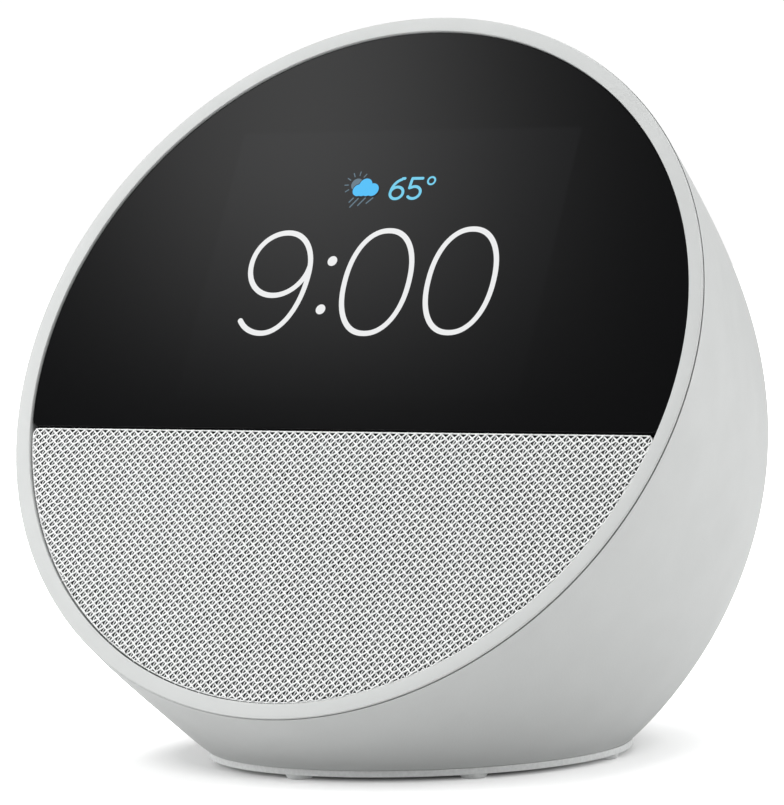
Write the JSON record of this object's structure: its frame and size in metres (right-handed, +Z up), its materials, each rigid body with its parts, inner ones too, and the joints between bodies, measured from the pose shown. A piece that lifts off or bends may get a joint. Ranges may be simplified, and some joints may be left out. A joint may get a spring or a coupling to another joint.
{
  "type": "smart display",
  "caption": "Table-top smart display: a round leaning face with a glass screen above a knitted speaker cloth, on a rounded housing that narrows to a small foot.",
  "frame": {"origin": "on the table, under the middle of the object's box", "axes": "+Z up, the face looks along -Y and leans back, +X is the viewer's right"},
  "size_m": [0.113, 0.1022, 0.1091],
  "materials": {
    "shell": "fine-grained cool white moulded plastic",
    "glass": "glossy black-backed cover glass",
    "screen": "dark lit screen",
    "cloth": "open knitted speaker cloth",
    "dark_plastic": "black moulded plastic",
    "foot_rubber": "pale grey soft rubber",
    "black_rubber": "black foam and rubber",
    "paper_cone": "pressed paper",
    "steel": "plated steel",
    "ferrite": "sintered ferrite",
    "copper": "wound copper wire",
    "alloy": "rolled sheet",
    "circuit_board": "green solder mask",
    "flex_film": "amber film"
  },
  "bodies": {
    "housing": {"bezel_ring": "shell", "cover_glass": "glass", "glass_gasket": "black_rubber", "grille_fabric": "cloth", "speaker_grille": "dark_plastic", "lcd_panel": "screen", "lcd_backlight": "steel", "display_chassis": "dark_plastic", "main_board": "circuit_board", "board_screw_1": "steel", "board_screw_2": "steel", "board_screw_3": "steel", "board_screw_4": "steel", "shield_can": "alloy", "heat_spreader": "alloy", "wifi_antenna": "flex_film", "lcd_flex": "flex_film", "speaker_basket": "dark_plastic", "speaker_surround": "black_rubber", "speaker_spider": "flex_film", "magnet_top_plate": "steel", "speaker_magnet": "ferrite", "magnet_yoke": "steel", "speaker_screw_1": "steel", "speaker_screw_2": "steel", "speaker_screw_3": "steel", "speaker_screw_4": "steel", "speaker_box": "dark_plastic", "rear_housing": "shell", "volume_down_switch": "steel", "mute_switch": "steel", "volume_up_switch": "steel", "button_board": "circuit_board", "button_board_screw_1": "steel", "button_board_screw_2": "steel", "microphone_left": "alloy", "microphone_right": "alloy", "dc_jack": "dark_plastic", "dc_jack_pin": "steel", "jack_board": "circuit_board", "foot_ring": "foot_rubber", "base_plate": "shell", "ballast_plate": "steel", "base_screw_1": "steel", "base_screw_2": "steel", "base_screw_3": "steel", "base_screw_4": "steel", "speaker_lead": "black_rubber", "jack_lead": "black_rubber", "button_lead": "black_rubber"},
    "volume_down": {"volume_down_button": "shell", "volume_down_plunger": "dark_plastic"},
    "mute": {"mute_button": "shell", "mute_plunger": "dark_plastic"},
    "volume_up": {"volume_up_button": "shell", "volume_up_plunger": "dark_plastic"},
    "diaphragm": {"speaker_cone": "paper_cone", "dust_cap": "paper_cone", "voice_coil": "copper"}
  },
  "joints": [
    {"name": "volume_down_press", "type": "slide", "parent": "housing", "child": "volume_down", "axis": [0, -0.6637, -0.748], "range_m": [0, 0.0008], "stiffness_N_per_m": 1000, "springref_m": -0.0003},
    {"name": "mute_press", "type": "slide", "parent": "housing", "child": "mute", "axis": [0, -0.6637, -0.748], "range_m": [0, 0.0008], "stiffness_N_per_m": 1000, "springref_m": -0.0003},
    {"name": "volume_up_press", "type": "slide", "parent": "housing", "child": "volume_up", "axis": [0, -0.6637, -0.748], "range_m": [0, 0.0008], "stiffness_N_per_m": 1000, "springref_m": -0.0003},
    {"name": "diaphragm_stroke", "type": "slide", "parent": "housing", "child": "diaphragm", "axis": [0, -0.8729, 0.4879], "range_m": [-0.0012, 0.0012], "stiffness_N_per_m": 1800, "deforming": ["speaker_surround", "speaker_spider"]}
  ]
}
